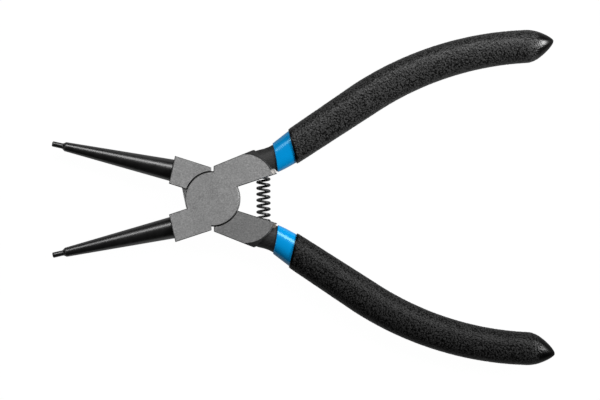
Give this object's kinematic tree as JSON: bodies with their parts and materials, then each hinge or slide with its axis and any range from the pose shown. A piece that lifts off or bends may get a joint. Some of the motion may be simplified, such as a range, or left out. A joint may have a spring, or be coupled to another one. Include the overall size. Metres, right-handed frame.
{
  "type": "circlip pliers",
  "caption": "Straight-nose pliers for internal circlips: lapped steel arms on a flush rivet, slim round tips with end pins, a coil return spring and dipped two-colour handles.",
  "frame": {"origin": "on the pivot's axis, in the plane of the head's underside, which is the plane that the tool lies on", "axes": "+X from the pivot towards the handles, along the tool's centre line; +Y towards the front arm's handle; +Z along the pivot, up through the face with the front arm's disc"},
  "size_m": [0.1667, 0.1112, 0.01],
  "materials": {
    "ground_steel": "ground matt head, blackened neck",
    "black_oxide": "blackened and oiled",
    "spring_steel": "black drawn wire",
    "blue_vinyl": "glossy dip",
    "black_vinyl": "pebbled dip"
  },
  "bodies": {
    "rear_half": {"rear_arm": "ground_steel", "rear_tip": "black_oxide", "rear_sleeve": "blue_vinyl", "rear_grip": "black_vinyl", "pivot_rivet": "ground_steel", "return_spring": "spring_steel"},
    "front_half": {"front_arm": "ground_steel", "front_tip": "black_oxide", "front_sleeve": "blue_vinyl", "front_grip": "black_vinyl"}
  },
  "joints": [
    {"name": "pivot", "type": "hinge", "parent": "rear_half", "child": "front_half", "pos_m": [0, 0, 0.005], "axis": [0, 0, 1], "range_deg": [-36, 4], "stiffness_Nm_per_rad": 0.5, "deforming": ["return_spring"]}
  ]
}
